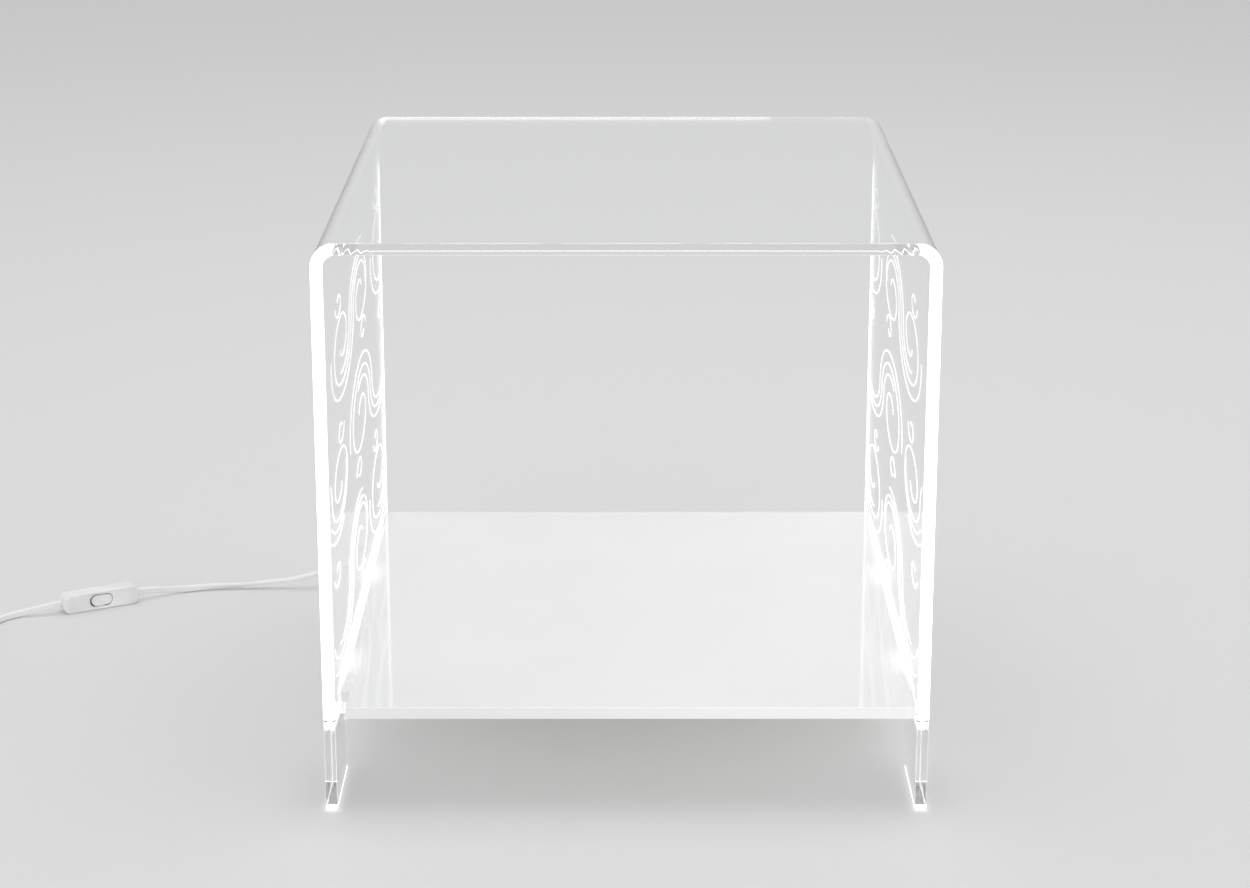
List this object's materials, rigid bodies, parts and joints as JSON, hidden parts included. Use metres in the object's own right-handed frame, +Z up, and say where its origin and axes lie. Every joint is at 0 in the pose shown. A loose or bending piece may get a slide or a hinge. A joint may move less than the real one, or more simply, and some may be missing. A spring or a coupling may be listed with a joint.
{
  "type": "edge-lit acrylic display cube",
  "caption": "Open-fronted clear acrylic cube with a bent hood over an opal shelf, edge-lit side panels, arched legs and a flat cord with a rocker switch.",
  "frame": {"origin": "centre of the cube's footprint on the table, under the middle of the hood", "axes": "+Z up; -Y towards the open front; +X to the right when looking in from the front; the cord leaves at the rear left, towards -X"},
  "size_m": [0.7624, 0.4627, 0.385],
  "materials": {
    "clear_acrylic": "polished clear cast acrylic, sawn edges polished",
    "opal_acrylic": "glossy white opal acrylic",
    "white_foam": "white closed-cell foam tape",
    "tape_white": "white solder mask on flexible tape",
    "chip_light": "white light chips with a yellow phosphor face",
    "black_foam": "black foam adhesive pad",
    "case_plastic": "fine-grained white moulded plastic",
    "screw_steel": "zinc-plated steel",
    "circuit_board": "green solder mask",
    "coil_tape": "yellow transformer tape",
    "capacitor_blue": "dark blue sleeve",
    "terminal_green": "green moulded terminal block",
    "lead_pvc": "soft white insulation",
    "cord_pvc": "soft white flat twin cord",
    "switch_plastic": "glossy white moulded plastic",
    "rocker_plastic": "glossy white moulded rocker",
    "brass": "bright stamped brass",
    "nickel": "nickel-plated brass pins",
    "core_blue": "blue core insulation",
    "tie_black": "black woven hook-and-loop tie"
  },
  "bodies": {
    "cube": {"hood": "clear_acrylic", "shelf": "opal_acrylic", "left_leg_plate": "clear_acrylic", "right_leg_plate": "clear_acrylic", "left_fixing_rail": "clear_acrylic", "right_fixing_rail": "clear_acrylic", "left_tape_bed": "white_foam", "right_tape_bed": "white_foam", "left_light_tape": "tape_white", "right_light_tape": "tape_white", "left_light_chips": "chip_light", "right_light_chips": "chip_light", "driver_pad": "black_foam", "driver_case": "case_plastic", "driver_cover": "case_plastic", "driver_screws": "screw_steel", "driver_board": "circuit_board", "driver_transformer": "coil_tape", "driver_capacitors": "capacitor_blue", "driver_terminals": "terminal_green", "left_tape_lead": "lead_pvc", "right_tape_lead": "lead_pvc", "lead_clips": "case_plastic", "cord_grip": "switch_plastic", "supply_cord": "cord_pvc", "switch_base": "switch_plastic", "switch_cover": "switch_plastic", "rocker_pin": "screw_steel", "switch_contacts": "brass", "switch_terminals": "brass", "terminal_screws": "screw_steel", "switch_screws": "screw_steel", "through_core": "core_blue", "cord_clamps": "switch_plastic", "plug_cord": "cord_pvc", "cord_coil": "cord_pvc", "coil_tie": "tie_black", "plug_body": "switch_plastic", "plug_pins": "nickel", "pin_sleeves": "switch_plastic"},
    "rocker": {"switch_rocker": "rocker_plastic", "rocker_contact": "brass"}
  },
  "joints": [
    {"name": "rocker_hinge", "type": "hinge", "parent": "cube", "child": "rocker", "pos_m": [-0.41783, 0.17579, 0.0075], "axis": [0, 0, -1], "range_deg": [0, 14]}
  ]
}
